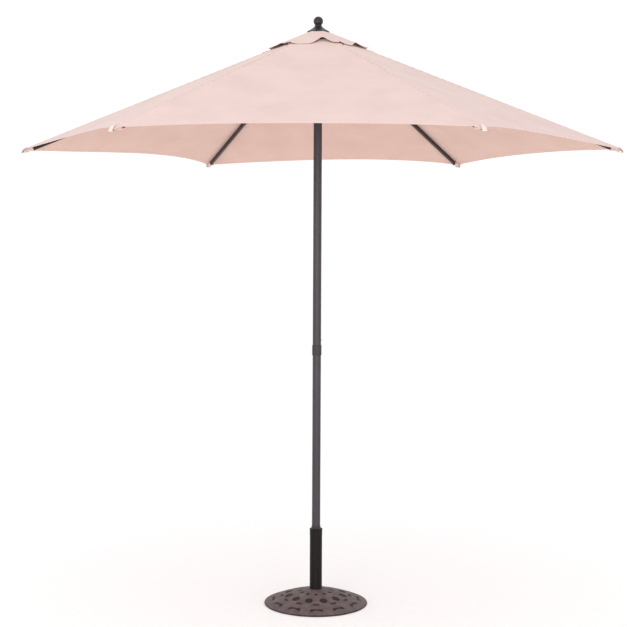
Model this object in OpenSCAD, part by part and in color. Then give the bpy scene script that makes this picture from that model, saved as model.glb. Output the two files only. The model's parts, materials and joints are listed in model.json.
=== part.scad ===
// Six-rib push-up patio umbrella standing in its round cast base.
// Millimetres, +Z up, origin on the floor under the pole, rib 1 along +X.

/* [Canopy] */
// Distance between two opposite canopy corners
canopy_span = 2700; // [2200:50:3000]
// Height of a canopy corner above the floor
corner_z = 2058; // [2000:1:2100]
// Height at which the main canopy's planes would meet on the axis
peak_z = 2585; // [2560:1:2600]
// Thickness of the canopy cloth with its seams
cloth_t = 1.2; // [0.8:0.1:2]
// How far the hem curves in between two corners
hem_sag = 50; // [10:1:60]
// Radius of the air vent in the middle of the canopy
vent_r = 140; // [110:5:160]
// Distance from the axis to a corner of the vent cap
cap_r = 222; // [190:1:250]
// Height of the vent cap above the main canopy
cap_rise = 12; // [9:1:14]

/* [Frame] */
// Diameter of the pole
pole_d = 38; // [38:1:38]
// Wall of the pole tubes
pole_wall = 1.2; // [1:0.1:2]
// Width of a rib
rib_w = 12; // [12:1:12]
// Depth of a rib
rib_h = 18; // [18:1:18]
// Width of a strut
strut_w = 10; // [10:1:10]
// Depth of a strut
strut_h = 15; // [15:1:15]
// Wall of the rib and strut tubes
bar_wall = 0.8; // [0.6:0.1:1.2]
// Distance of the rib and strut pivots from the axis
pivot_r = 36; // [36:1:38]
// Height of the rib pivots
crown_z = 2556; // [2550:1:2560]
// Distance along a rib from its pivot to its strut bracket
bracket_at = 430; // [420:5:440]
// Height of the joint between the two pole tubes
joint_z = 1157; // [1100:1:1200]

/* [Base] */
// Diameter of the cast weight
base_d = 468; // [440:1:500]
// Height of the cast weight at the tube
base_h = 67; // [60:1:75]
// Height of the top of the base tube
tube_top = 343; // [330:1:360]
// Diameter of the base tube
tube_d = 56; // [56:1:56]

/* [Hidden] */
$fn = 64;
tiny = 0.01;
fit = 0.05;         // radial clearance of a pin or of a sliding fit
gap = 0.3;          // clearance between parts that pass each other
sectors = 6;
sector = 360 / sectors;

// canopy planes
corner_r = canopy_span / 2;
mid_r = corner_r * cos(sector / 2);
drop = peak_z - corner_z;
rib_slope = atan(drop / corner_r);
cloth_slope = atan(drop / mid_r);
mid_len = mid_r / cos(cloth_slope);
half_edge = corner_r * sin(sector / 2);
hem_arc_r = (half_edge * half_edge + hem_sag * hem_sag) / (2 * hem_sag);
seam_trim = 0.4;
cap_mid = cap_r * cos(sector / 2) / cos(cloth_slope);
cap_half = cap_r * sin(sector / 2);
cap_sag = 5;
cap_arc_r = (cap_half * cap_half + cap_sag * cap_sag) / (2 * cap_sag);
cap_hole_r = 24;

// ribs: local +X runs along the rib from its pivot
rib_len = (corner_r - 20 - pivot_r) / cos(rib_slope);
lug_len = 34;
rib_pin_r = 3;
strut_pin_r = 2.5;
bracket_drop = 20;
bracket_t = 2;
ear_in = strut_w + 2 * gap;

// struts: the triangle crown pivot, bracket pivot, runner pivot has two equal sides
link_len = sqrt(bracket_at * bracket_at + bracket_drop * bracket_drop);
link_slope = rib_slope + atan(bracket_drop / bracket_at);
runner_z = crown_z - 2 * link_len * sin(link_slope);

// pole
pole_r = pole_d / 2;
bore_r = pole_r - pole_wall;
spigot_r = bore_r - fit;
button_z = joint_z + 45;
button_r = 4.5;
button_out = 3;
pole_top = 2572;
hub_r = 46;
runner_r = 44;
runner_foot = 26;
catch_top = runner_z - runner_foot - gap;

// base
tube_r = tube_d / 2;
tube_bore = 25.45;
base_r = base_d / 2;
edge_low = 1.5;
edge_high = 4.5;
dome_turn = 6.5;    // half the angle that the dome's profile turns through
sleeve_floor = 16.3;
pole_foot = 20.6;
clamp_z = 230;
rod_r = 4;          // clamp screw, and the finial's stud
rod_len = 27;
knob_at = 40;       // distance of the knob's near face from the axis
knob_r = 21;
boss_r = 9;         // round boss on the tube that the clamp screw runs in
collar_half = 23;   // half the height of the collar over the pole's joint
spigot_half = 110;  // how far the spigot reaches into each pole tube
slot_depth = 4;
pattern_turn = 5;   // turns one spoke of the pattern to the front of the photo
pattern_step = 30;  // angle between two spokes of the pattern
rhomb_at = 0.305;   // the pattern's four rings, as shares of the base's radius
oval_at = 0.535;
dash_at = 0.66;
crescent_at = 0.827;
rhomb_side = 13.5;
oval_r = 17;
dash_size = [10, 26];
crescent_size = [14, 58];
screw_at = 52;      // distance of the flange screws from the axis
screw_r = 3;
foot_at = 198;      // distance of the rubber feet from the axis
foot_disc_r = 13;
foot_pocket = 3.6;
flange_r = 70;
flange_z = 6.5;
flange_t = 4;
tip_len = 38;       // end cap of a rib, beyond its tube
tip_nose = 9;       // depth of the cap's tapered end

// ------------------------------------------------------------------ helpers

module tube(r_out, r_in, z0, z1)
    translate([0, 0, z0])
        difference() {
            cylinder(r = r_out, h = z1 - z0);
            translate([0, 0, -1])
                cylinder(r = r_in, h = z1 - z0 + 2);
        }

module soft_box(w, h, r) {
    square([w - 2 * r, h], center = true);
    square([w, h - 2 * r], center = true);
    for (x = [-1, 1], y = [-1, 1])
        translate([x * (w / 2 - r), y * (h / 2 - r)])
            circle(r = r, $fn = 24);
}

// a bar along local X
module bar(x0, x1, w, h, r)
    translate([x0, 0, 0])
        rotate([90, 0, 90])
            linear_extrude(x1 - x0)
                soft_box(w, h, r);

module box_tube(x0, x1, w, h, r, wall)
    difference() {
        bar(x0, x1, w, h, r);
        bar(x0 - 1, x1 + 1, w - 2 * wall, h - 2 * wall, r - wall);
    }

module pin(r, len)
    rotate([90, 0, 0])
        cylinder(r = r, h = len, center = true, $fn = 32);

module at_rib(k)
    rotate([0, 0, (k - 1) * sector])
        translate([pivot_r, 0, crown_z])
            rotate([0, rib_slope, 0])
                children();

module at_runner_pivot(k)
    rotate([0, 0, (k - 1) * sector])
        translate([pivot_r, 0, runner_z])
            rotate([0, -link_slope, 0])
                children();

// ------------------------------------------------------------------ base

function dome_z(r) =
    let (run = base_r - tube_r,
         t = (base_r - r) / run,
         bulge = tan(dome_turn) * run * t * (1 - t))
    edge_high + (base_h - edge_high) * t + bulge;

module dome(drop_by = 0)
    rotate_extrude($fn = 96)
        polygon(concat(
            [[0, edge_low], [base_r - 1, edge_low], [base_r, edge_low + 1]],
            [for (i = [0:10]) let (r = base_r - i * (base_r - tube_r) / 10)
                [r, dome_z(r) - drop_by]],
            [[0, base_h - drop_by]]));

// twelve-fold pattern of shallow recesses: rhombs, ovals, dashes and crescents
module recess_pattern()
    for (a = [pattern_turn:pattern_step:pattern_turn + 360 - pattern_step])
        rotate(a) {
            translate([base_r * rhomb_at, 0])
                rotate(45)
                    square(rhomb_side, center = true);
            rotate(pattern_step / 2)
                translate([base_r * oval_at, 0])
                    scale([1.05, 0.98])
                        circle(r = oval_r);
            translate([base_r * dash_at, 0])
                square(dash_size, center = true);
            intersection() {
                difference() {
                    circle(r = base_r * crescent_at + crescent_size[0] / 2, $fn = 96);
                    circle(r = base_r * crescent_at - crescent_size[0] / 2, $fn = 96);
                }
                translate([base_r * crescent_at, 0])
                    square([3 * crescent_size[0], crescent_size[1]], center = true);
            }
        }

module flange_screw_holes()
    for (a = [45:90:315])
        rotate(a)
            translate([screw_at, 0, 0])
                cylinder(r = screw_r + fit, h = 32, $fn = 32);

module base_weight()
    color([0.45, 0.40, 0.39])
        difference() {
            dome();
            difference() {
                translate([0, 0, 8])
                    linear_extrude(base_h)
                        recess_pattern();
                dome(slot_depth);
            }
            translate([0, 0, -1])
                cylinder(r = tube_r + fit, h = base_h + 10);
            translate([0, 0, -1])
                cylinder(r = flange_r + 2, h = flange_z + flange_t + 1.1);
            flange_screw_holes();
            for (a = [30:60:330])
                rotate(a)
                    translate([foot_at, 0, -1])
                        cylinder(r = foot_disc_r + 0.2, h = foot_pocket + 1);
        }

module base_tube()
    color([0.17, 0.13, 0.145])
        difference() {
            union() {
                cylinder(r = tube_r, h = tube_top);
                translate([0, tube_r - 4, clamp_z])
                    rotate([-90, 0, 0])
                        cylinder(r = boss_r, h = 10, $fn = 48);
                translate([0, 0, flange_z])
                    cylinder(r = flange_r, h = flange_t);
            }
            translate([0, 0, -1])
                cylinder(r = flange_r + 20, h = flange_z + 1);
            translate([0, 0, 15])
                cylinder(r = tube_bore, h = tube_top);
            translate([0, 0, clamp_z])
                rotate([-90, 0, 0])
                    cylinder(r = rod_r + fit, h = 60, $fn = 32);
            flange_screw_holes();
        }

// lotus-shaped mouth ring on the tube
module tube_rim()
    color([0.17, 0.13, 0.145])
        difference() {
            rotate_extrude()
                polygon([[tube_r + fit, tube_top - 37], [tube_r + 0.6, tube_top - 37],
                         [tube_r + 1, tube_top - 30], [tube_r + 1, tube_top - 9],
                         [tube_r + 2.8, tube_top - 1], [tube_r + 2.4, tube_top + 1],
                         [tube_r + fit, tube_top + 1]]);
            for (a = [0:30:330])
                rotate(a)
                    translate([tube_r + 2.4, 0, tube_top - 40])
                        cylinder(r = 1.2, h = 16, $fn = 24);
        }

// thin stepped ring where the tube leaves the weight
module tube_collar()
    color([0.17, 0.13, 0.145])
        rotate_extrude()
            polygon([[tube_r + fit, base_h + 0.4], [tube_r + 1.4, base_h + 0.4],
                     [tube_r + 1.4, base_h + 3], [tube_r + 0.7, base_h + 5],
                     [tube_r + 0.7, base_h + 20], [tube_r + 1.2, base_h + 21],
                     [tube_r + 1.2, base_h + 24], [tube_r + 0.6, base_h + 25],
                     [tube_r + fit, base_h + 25]]);

module base_screws()
    color([0.6, 0.6, 0.62])
        for (a = [45:90:315])
            rotate(a)
                translate([screw_at, 0, 2.5])
                    difference() {
                        union() {
                            cylinder(r = 6, h = 4 - tiny, $fn = 32);
                            cylinder(r = screw_r, h = 28, $fn = 32);
                        }
                        translate([0, 0, -1])
                            cylinder(r = 2.9, h = 3.5, $fn = 6);
                    }

module base_feet()
    color([0.1, 0.1, 0.1])
        for (a = [30:60:330])
            rotate(a)
                translate([foot_at, 0, 0])
                    cylinder(r = foot_disc_r, h = foot_pocket - tiny);

// the threaded rod is drawn at its plain outer diameter
module clamp_screw()
    color([0.6, 0.6, 0.62])
        translate([0, tube_bore - fit + gap, clamp_z])
            rotate([-90, 0, 0])
                cylinder(r = rod_r, h = rod_len, $fn = 32);

module clamp_knob()
    color([0.1, 0.1, 0.1])
        translate([0, knob_at, clamp_z])
            rotate([-90, 0, 0])
                difference() {
                    union() {
                        cylinder(r = 8, h = 8, $fn = 48);
                        translate([0, 0, 5])
                            cylinder(r = knob_r, h = 15);
                    }
                    for (a = [0:60:300])
                        rotate(a)
                            translate([knob_r + 4, 0, 4])
                                cylinder(r = 8, h = 20, $fn = 32);
                    translate([0, 0, -1])
                        cylinder(r = rod_r + fit, h = 14, $fn = 32);
                }

// ------------------------------------------------------------------ pole

module pole_sleeve()
    color([0.12, 0.12, 0.12])
        rotate_extrude()
            polygon([[0, sleeve_floor], [tube_bore - fit, sleeve_floor],
                     [tube_bore - fit, tube_top + 0.5], [pole_r + 1.4, tube_top + 5],
                     [pole_r + 1.4, tube_top + 12], [pole_r + 1, tube_top + 12.4],
                     [pole_r + fit, tube_top + 12.4], [pole_r + fit, pole_foot - gap],
                     [0, pole_foot - gap]]);

module lower_pole()
    color([0.27, 0.25, 0.275])
        tube(pole_r, bore_r, pole_foot + 1.4, joint_z - tiny);

module pole_end_plug()
    color([0.1, 0.1, 0.1]) {
        translate([0, 0, pole_foot])
            cylinder(r = pole_r - 0.1, h = 1.4 - tiny);
        translate([0, 0, pole_foot + 1.4 - tiny])
            cylinder(r = bore_r - fit, h = 26);
    }

module joint_collar()
    color([0.1, 0.1, 0.11])
        rotate_extrude()
            polygon([[pole_r + fit, joint_z - collar_half],
                     [pole_r + 1.6, joint_z - collar_half],
                     [pole_r + 2.2, joint_z - collar_half + 2],
                     [pole_r + 2.2, joint_z + collar_half - 3],
                     [pole_r + 1.4, joint_z + collar_half],
                     [pole_r + fit, joint_z + collar_half]]);

module button_hole(r)
    translate([0, 0, button_z])
        rotate([0, 90, 0])
            cylinder(r = r, h = 40, $fn = 48);

module joint_spigot()
    color([0.45, 0.45, 0.47])
        difference() {
            tube(spigot_r, spigot_r - 1.5, joint_z - spigot_half, joint_z + spigot_half);
            button_hole(button_r + fit);
        }

module joint_button()
    color([0.75, 0.75, 0.77])
        translate([0, 0, button_z])
            rotate([0, 90, 0]) {
                translate([0, 0, 13])
                    cylinder(r = button_r, h = pole_r - 13 + button_out - 1.2, $fn = 48);
                translate([0, 0, pole_r + button_out - 1.2 - tiny])
                    cylinder(r1 = button_r, r2 = button_r - 1.2, h = 1.2, $fn = 48);
                translate([0, 0, 11.6])
                    cylinder(r = button_r + 1.2, h = 1.6, $fn = 48);
            }

// V-shaped leaf spring that pushes the button out
module button_spring()
    color([0.6, 0.6, 0.62])
        translate([0, 0, button_z])
            rotate([90, 0, 0])
                linear_extrude(7, center = true)
                    polygon([[10.6, -7], [10.6, 7], [11.4, 7], [11.4, -7.4],
                             [-9.4, -46], [-14.9, -36], [-14.9, 6], [-14.1, 6],
                             [-14.1, -35.6], [-9.4, -44.2]]);

module upper_pole()
    color([0.27, 0.25, 0.275])
        difference() {
            tube(pole_r, bore_r, joint_z, pole_top);
            button_hole(button_r + fit);
            translate([-4.3, 0, catch_top - 34])
                cube([8.6, 40, 34.5]);
        }

// spring catch that holds the runner up
module catch_spring()
    color([0.6, 0.6, 0.62])
        rotate([0, 0, 90])
            translate([0, 0, catch_top])
                rotate([90, 0, 0])
                    linear_extrude(8, center = true)
                        polygon([[pole_r + 3.4, 0], [pole_r + 3.4, -4], [pole_r - 4, -30],
                                 [-12, -60], [-16, -52], [-16, -20], [-15, -20],
                                 [-15, -51.5], [-11.6, -58.4], [pole_r - 5, -29.4],
                                 [pole_r - 5, 0]]);

// disc with a slot for each bar, cut from slot_in outwards
module slotted_disc(r, z0, z1, slot_w, slot_in, slot_z0, slot_z1)
    difference() {
        translate([0, 0, z0])
            cylinder(r = r, h = z1 - z0);
        for (k = [0:sectors - 1])
            rotate(k * sector)
                translate([slot_in, -slot_w / 2, slot_z0])
                    cube([r, slot_w, slot_z1 - slot_z0]);
    }

module crown_hub()
    color([0.08, 0.08, 0.085])
        difference() {
            union() {
                slotted_disc(hub_r, crown_z - 12, crown_z + 13, rib_w + 2 * gap,
                             pivot_r - rib_h / 2 - gap, crown_z - 20, crown_z + 10.5);
                translate([0, 0, crown_z - 34])
                    cylinder(r = 24, h = 30);
            }
            translate([0, 0, crown_z - 60])
                cylinder(r = pole_r + fit, h = 120);
            for (k = [0:sectors - 1])
                rotate(k * sector)
                    translate([pivot_r, 0, crown_z])
                        pin(rib_pin_r + fit, 31.2);
        }

module crown_pins()
    color([0.6, 0.6, 0.62])
        for (k = [0:sectors - 1])
            rotate(k * sector)
                translate([pivot_r, 0, crown_z])
                    pin(rib_pin_r, 30.6);

module top_plug()
    color([0.08, 0.08, 0.085])
        difference() {
            union() {
                translate([0, 0, pole_top - 30])
                    cylinder(r = bore_r - fit, h = 31);
                translate([0, 0, pole_top + tiny])
                    cylinder(r = pole_r, h = 3);
            }
            translate([0, 0, pole_top - 40])
                cylinder(r = rod_r + fit, h = 50, $fn = 32);
        }

// turned finial: bell-shaped foot, neck and ball, with its stud
finial_z = pole_top + 3 + 2 * tiny;
foot_r = 50;
foot_z = 2578.4;
neck_r = 15.5;
neck_z = 2607;
ball_r = 21.5;
ball_z = 2626.5;
neck_hit = sqrt(ball_r * ball_r - neck_r * neck_r);

module finial()
    color([0.14, 0.13, 0.14])
        rotate_extrude()
            polygon(concat(
                [[0, finial_z - 28], [rod_r, finial_z - 28], [rod_r, finial_z], [15, finial_z],
                 [15.4, 2592], [foot_r - 1, foot_z], [foot_r, foot_z + 0.6],
                 [foot_r, foot_z + 2]],
                [for (i = [1:8]) let (t = i / 8)
                    [neck_r + (foot_r - neck_r) * pow(1 - t, 1.3),
                     foot_z + 2 + (neck_z - foot_z - 2) * t]],
                [for (i = [1:10])
                    let (start = atan2(-neck_hit, neck_r), a = start + (90 - start) * i / 10)
                    [max(0, ball_r * cos(a)), ball_z + ball_r * sin(a)]]));

// ------------------------------------------------------------------ runner

module runner()
    color([0.08, 0.08, 0.085])
        difference() {
            union() {
                slotted_disc(runner_r, runner_z - 12, runner_z + 12, strut_w + 2 * gap,
                             pivot_r - strut_h / 2 - 1.2, runner_z - 30, runner_z + 30);
                translate([0, 0, runner_z - runner_foot])
                    cylinder(r = 25, h = 2 * runner_foot);
            }
            translate([0, 0, runner_z - 60])
                cylinder(r = pole_r + gap, h = 120);
            for (k = [0:sectors - 1])
                rotate(k * sector)
                    translate([pivot_r, 0, runner_z])
                        pin(strut_pin_r + fit, 27.2);
        }

module runner_pins()
    color([0.6, 0.6, 0.62])
        for (k = [0:sectors - 1])
            rotate(k * sector)
                translate([pivot_r, 0, runner_z])
                    pin(strut_pin_r, 26.6);

// ------------------------------------------------------------------ ribs and struts

module rib(k)
    color([0.16, 0.12, 0.115])
        at_rib(k)
            difference() {
                union() {
                    box_tube(14, rib_len - tip_len, rib_w, rib_h, 2.5, bar_wall);
                    bar(8, lug_len, rib_w - 0.4, rib_h - 0.4, 2.3);
                    pin(rib_h / 2 - 0.2, rib_w - 0.4);
                }
                pin(rib_pin_r + fit, rib_w + 2);
            }

// plastic end cap that sits in the corner pocket of the canopy; its nose tapers upwards
module rib_tip(k)
    color([0.06, 0.05, 0.05])
        at_rib(k) {
            difference() {
                bar(rib_len - tip_len + tiny, rib_len, rib_w + 1, rib_h + 0.6, 3);
                translate([rib_len, 0, rib_h / 2 + 0.3 - tip_nose])
                    rotate([0, atan((rib_h + 0.6 - tip_nose) / (tip_len - 4)), 0])
                        translate([-2 * tip_len, -rib_w, -2 * rib_h])
                            cube([3 * tip_len, 2 * rib_w, 2 * rib_h]);
            }
            bar(rib_len - tip_len - 30, rib_len - tip_len + 2 * tiny,
                rib_w - 2 * bar_wall - 0.1, rib_h - 2 * bar_wall - 0.1, 1.5);
        }

module strut_bracket(k)
    color([0.16, 0.12, 0.115])
        at_rib(k)
            translate([bracket_at, 0, 0]) {
                difference() {
                    union() {
                        translate([-18, -ear_in / 2 - bracket_t, -rib_h / 2 - bracket_t])
                            cube([36, ear_in + 2 * bracket_t, bracket_t - tiny]);
                        for (side = [-1, 1])
                            translate([0, side * (ear_in + bracket_t) / 2, 0]) {
                                translate([-11, -bracket_t / 2, -bracket_drop])
                                    cube([22, bracket_t, bracket_drop - rib_h / 2 - 1]);
                                translate([0, 0, -bracket_drop])
                                    pin(11, bracket_t);
                            }
                    }
                    translate([0, 0, -bracket_drop])
                        pin(strut_pin_r + fit, 40);
                }
                translate([0, 0, -bracket_drop])
                    pin(strut_pin_r, ear_in + 2 * bracket_t + 1);
            }

module strut(k)
    color([0.16, 0.12, 0.115])
        at_runner_pivot(k)
            difference() {
                union() {
                    box_tube(14, link_len - 14, strut_w, strut_h, 2, bar_wall);
                    for (x = [0, link_len])
                        translate([x, 0, 0])
                            pin(strut_h / 2, strut_w);
                    bar(6, 30, strut_w - 0.4, strut_h - 0.4, 1.8);
                    bar(link_len - 30, link_len - 6, strut_w - 0.4, strut_h - 0.4, 1.8);
                }
                for (x = [0, link_len])
                    translate([x, 0, 0])
                        pin(strut_pin_r + fit, strut_w + 2);
            }

// ------------------------------------------------------------------ cloth

// flat half gore in its own plane: x down the slope from the peak, y along the hem
module half_gore(len, half, arc_r, sag, hole_r, apex_z, side)
    translate([0, 0, apex_z])
        rotate([0, cloth_slope, 0])
            translate([0, 0, -cloth_t])
                linear_extrude(cloth_t)
                    difference() {
                        polygon([[0, 0], [len, 0], [len, side * half]]);
                        translate([len - sag + arc_r, 0])
                            circle(r = arc_r, $fn = 360);
                        circle(r = hole_r);
                        rotate(side * atan(half / len))
                            translate([0, -seam_trim])
                                square([2 * len, 2 * seam_trim]);
                        translate([0, -0.05])
                            square([2 * len, 0.1]);
                    }

module canopy_half(k, side)
    color([0.925, 0.82, 0.80])
        rotate([0, 0, (k - 0.5) * sector])
            half_gore(mid_len, half_edge, hem_arc_r, hem_sag, vent_r, peak_z, side);

module vent_cap()
    color([0.925, 0.82, 0.80])
        for (k = [1:sectors], side = [-1, 1])
            rotate([0, 0, (k - 0.5) * sector])
                half_gore(cap_mid, cap_half, cap_arc_r, cap_sag, cap_hole_r,
                          peak_z + cap_rise, side);

// ------------------------------------------------------------------ drawing

base_weight();
base_tube();
tube_rim();
tube_collar();
base_screws();
base_feet();
clamp_screw();
clamp_knob();
pole_sleeve();
lower_pole();
pole_end_plug();
joint_collar();
joint_spigot();
button_spring();
joint_button();
upper_pole();
crown_hub();
crown_pins();
top_plug();
finial();
catch_spring();
runner();
runner_pins();
vent_cap();
for (k = [1:sectors]) {
    rib(k);
    rib_tip(k);
    strut_bracket(k);
    strut(k);
    canopy_half(k, -1);
    canopy_half(k, 1);
}
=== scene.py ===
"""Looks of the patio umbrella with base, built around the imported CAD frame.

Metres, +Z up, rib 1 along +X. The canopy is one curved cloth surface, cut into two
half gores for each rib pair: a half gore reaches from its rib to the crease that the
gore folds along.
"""
import json
import math
import random

import bmesh
import bpy
import numpy as np
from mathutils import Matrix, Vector


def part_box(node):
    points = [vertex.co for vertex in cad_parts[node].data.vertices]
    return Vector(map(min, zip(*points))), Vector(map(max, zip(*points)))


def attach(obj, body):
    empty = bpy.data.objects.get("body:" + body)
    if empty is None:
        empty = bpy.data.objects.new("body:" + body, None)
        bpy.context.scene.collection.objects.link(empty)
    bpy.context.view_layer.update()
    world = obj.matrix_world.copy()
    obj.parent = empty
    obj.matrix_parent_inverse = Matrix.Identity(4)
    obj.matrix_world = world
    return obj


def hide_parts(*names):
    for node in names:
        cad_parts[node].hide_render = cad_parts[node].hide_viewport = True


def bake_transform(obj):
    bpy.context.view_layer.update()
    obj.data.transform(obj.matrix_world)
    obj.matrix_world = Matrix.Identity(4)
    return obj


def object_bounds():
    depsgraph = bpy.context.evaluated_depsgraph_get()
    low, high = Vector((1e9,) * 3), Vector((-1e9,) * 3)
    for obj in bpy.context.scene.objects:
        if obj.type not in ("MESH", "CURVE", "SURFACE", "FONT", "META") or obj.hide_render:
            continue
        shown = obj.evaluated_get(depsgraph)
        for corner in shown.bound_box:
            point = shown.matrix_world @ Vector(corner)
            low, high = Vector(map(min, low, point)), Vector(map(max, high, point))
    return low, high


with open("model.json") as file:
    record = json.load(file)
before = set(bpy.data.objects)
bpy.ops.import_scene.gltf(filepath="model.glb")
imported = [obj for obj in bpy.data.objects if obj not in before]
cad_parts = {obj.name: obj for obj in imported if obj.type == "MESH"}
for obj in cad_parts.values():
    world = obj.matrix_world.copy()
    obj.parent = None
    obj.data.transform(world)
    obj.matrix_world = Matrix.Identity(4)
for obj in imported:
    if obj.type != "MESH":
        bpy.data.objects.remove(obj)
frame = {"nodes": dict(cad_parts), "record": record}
cad_box = [list(corner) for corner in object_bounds()]

JOINTS = {j["name"]: j for j in frame["record"]["behaviour"]["joints"]}
MM = 0.001
SECTORS = 6
SECTOR = math.radians(60)
HALF = SECTOR / 2

# ---------------------------------------------------------------- sizes from the frame
CORNER_R = cad_box[1][0] + 0.25 * MM
PIVOT_R = JOINTS["canopy_fold"]["pos_m"][0]
CROWN_Z = JOINTS["canopy_fold"]["pos_m"][2]
PEAK_Z = 2.585
CORNER_Z = 2.058
RIB_SLOPE = math.atan2(PEAK_Z - CORNER_Z, CORNER_R)
CLOTH_SLOPE = math.atan2(PEAK_Z - CORNER_Z, CORNER_R * math.cos(HALF))
CORNER_ARM = CORNER_R * math.sin(HALF)
MID_RUN = CORNER_R * math.cos(HALF)
# how far the hem of each gore curves in, and how far that curve leans towards one rib
HEM_SAG = {1: 0.050, 2: 0.064, 3: 0.058, 4: 0.048, 5: 0.051, 6: 0.045}
HEM_LEAN = {1: 0.0, 2: -0.35, 3: -0.8, 4: 0.7, 5: 0.0, 6: -0.8}
CLOTH_T = 0.7 * MM
VENT_R = 0.125
CAP_R = 0.222
CAP_RISE = 0.012
CAP_IN = 0.032
RIB_LEN = (CORNER_R - 0.020 - PIVOT_R) / math.cos(RIB_SLOPE)
NOSE_R = CORNER_R - 0.024
BASE_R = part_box("base_weight")[1][0]
DOME_TOP = 0.067
TUBE_TOP = 0.343
TUBE_R = 0.028
LEAF_HIGH = 0.037
EDGE_LOW = 1.5 * MM
EDGE_HIGH = 4.5 * MM
DOME_TURN = math.radians(6.5)
PATTERN_TURN = math.radians(5)
PATTERN_STEP = math.radians(30)
RHOMB_AT = 0.305 * BASE_R
OVAL_AT = 0.535 * BASE_R
ISLAND_AT = 0.525 * BASE_R
DASH_AT = 0.66 * BASE_R
CRESCENT_AT = 0.812 * BASE_R

# ---------------------------------------------------------------- camera
CAMERA_AZIMUTH = math.radians(3.9)
CAMERA_DISTANCE = 5.877
CAMERA_HEIGHT = 1.651
CAMERA_PITCH = math.radians(-3.2)
CAMERA_YAW = math.radians(0.154)
CAMERA_ROLL = math.radians(0.25)
SENSOR = 36.0
FOCAL = 74.9


def make_camera():
    data = bpy.data.cameras.new("photo_camera")
    data.sensor_width = SENSOR
    data.lens = FOCAL
    camera = bpy.data.objects.new("photo_camera", data)
    bpy.context.collection.objects.link(camera)
    camera.location = (CAMERA_DISTANCE * math.sin(CAMERA_AZIMUTH),
                       -CAMERA_DISTANCE * math.cos(CAMERA_AZIMUTH), CAMERA_HEIGHT)
    heading = CAMERA_AZIMUTH + CAMERA_YAW
    forward = Vector((-math.sin(heading) * math.cos(CAMERA_PITCH),
                      math.cos(heading) * math.cos(CAMERA_PITCH), math.sin(CAMERA_PITCH)))
    turn = forward.to_track_quat("-Z", "Y")
    camera.rotation_euler = turn.to_euler()
    camera.rotation_euler.rotate_axis("Z", CAMERA_ROLL)
    bpy.context.scene.camera = camera


# ---------------------------------------------------------------- material helpers
def srgb(r, g, b):
    """Display colour 0-255 to the linear values that shaders take."""
    def one(c):
        c = c / 255
        return c / 12.92 if c <= 0.04045 else ((c + 0.055) / 1.055) ** 2.4
    return (one(r), one(g), one(b), 1.0)


class Nodes:
    """A material's node tree with short calls for the nodes used here."""

    def __init__(self, name, roughness, metallic=0.0, sheen=0.0, specular=0.5):
        self.material = bpy.data.materials.new(name)
        self.material.use_nodes = True
        self.tree = self.material.node_tree
        self.shader = self.tree.nodes["Principled BSDF"]
        self.shader.inputs["Roughness"].default_value = roughness
        self.shader.inputs["Metallic"].default_value = metallic
        self.shader.inputs["Specular IOR Level"].default_value = specular
        self.shader.inputs["Sheen Weight"].default_value = sheen
        self.shader.inputs["Sheen Roughness"].default_value = 0.5

    def add(self, kind, **values):
        node = self.tree.nodes.new(kind)
        for key, value in values.items():
            setattr(node, key, value)
        return node

    def link(self, a, b):
        self.tree.links.new(a, b)

    def coordinates(self, use_uv=False, scale=(1, 1, 1)):
        source = self.add("ShaderNodeTexCoord")
        mapping = self.add("ShaderNodeMapping")
        mapping.inputs["Scale"].default_value = scale
        self.link(source.outputs["UV" if use_uv else "Object"], mapping.inputs["Vector"])
        return mapping.outputs["Vector"]

    def noise(self, where, scale, detail=3.0, rough=0.5):
        node = self.add("ShaderNodeTexNoise")
        node.inputs["Scale"].default_value = scale
        node.inputs["Detail"].default_value = detail
        node.inputs["Roughness"].default_value = rough
        self.link(where, node.inputs["Vector"])
        return node.outputs["Fac"]

    def wave(self, where, scale, direction, distort=0.0):
        node = self.add("ShaderNodeTexWave", bands_direction=direction)
        node.inputs["Scale"].default_value = scale
        node.inputs["Distortion"].default_value = distort
        self.link(where, node.inputs["Vector"])
        return node.outputs["Fac"]

    def mix(self, factor, a, b, low=0.0, high=1.0):
        """Colour between a and b as factor goes from low to high."""
        ramp = self.add("ShaderNodeValToRGB")
        ramp.color_ramp.elements[0].position = low
        ramp.color_ramp.elements[1].position = high
        ramp.color_ramp.elements[0].color = a
        ramp.color_ramp.elements[1].color = b
        self.link(factor, ramp.inputs["Fac"])
        return ramp.outputs["Color"]

    def blend(self, a, b, factor=0.5, mode="MULTIPLY"):
        node = self.add("ShaderNodeMix", data_type="RGBA", blend_type=mode)
        node.inputs["Factor"].default_value = factor
        self.link(a, node.inputs["A"])
        self.link(b, node.inputs["B"])
        return node.outputs["Result"]

    def math(self, kind, a, b=None, value=None):
        node = self.add("ShaderNodeMath", operation=kind)
        self.link(a, node.inputs[0])
        if b is not None:
            self.link(b, node.inputs[1])
        if value is not None:
            node.inputs[1].default_value = value
        return node.outputs["Value"]

    def colour(self, socket):
        self.link(socket, self.shader.inputs["Base Color"])

    def roughness(self, factor, low, high):
        node = self.add("ShaderNodeMapRange")
        node.inputs["To Min"].default_value = low
        node.inputs["To Max"].default_value = high
        self.link(factor, node.inputs["Value"])
        self.link(node.outputs["Result"], self.shader.inputs["Roughness"])

    def bump(self, height, strength, distance, below=None):
        node = self.add("ShaderNodeBump")
        node.inputs["Strength"].default_value = strength
        node.inputs["Distance"].default_value = distance
        self.link(height, node.inputs["Height"])
        if below is not None:
            self.link(below, node.inputs["Normal"])
        self.link(node.outputs["Normal"], self.shader.inputs["Normal"])
        return node.outputs["Normal"]


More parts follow.
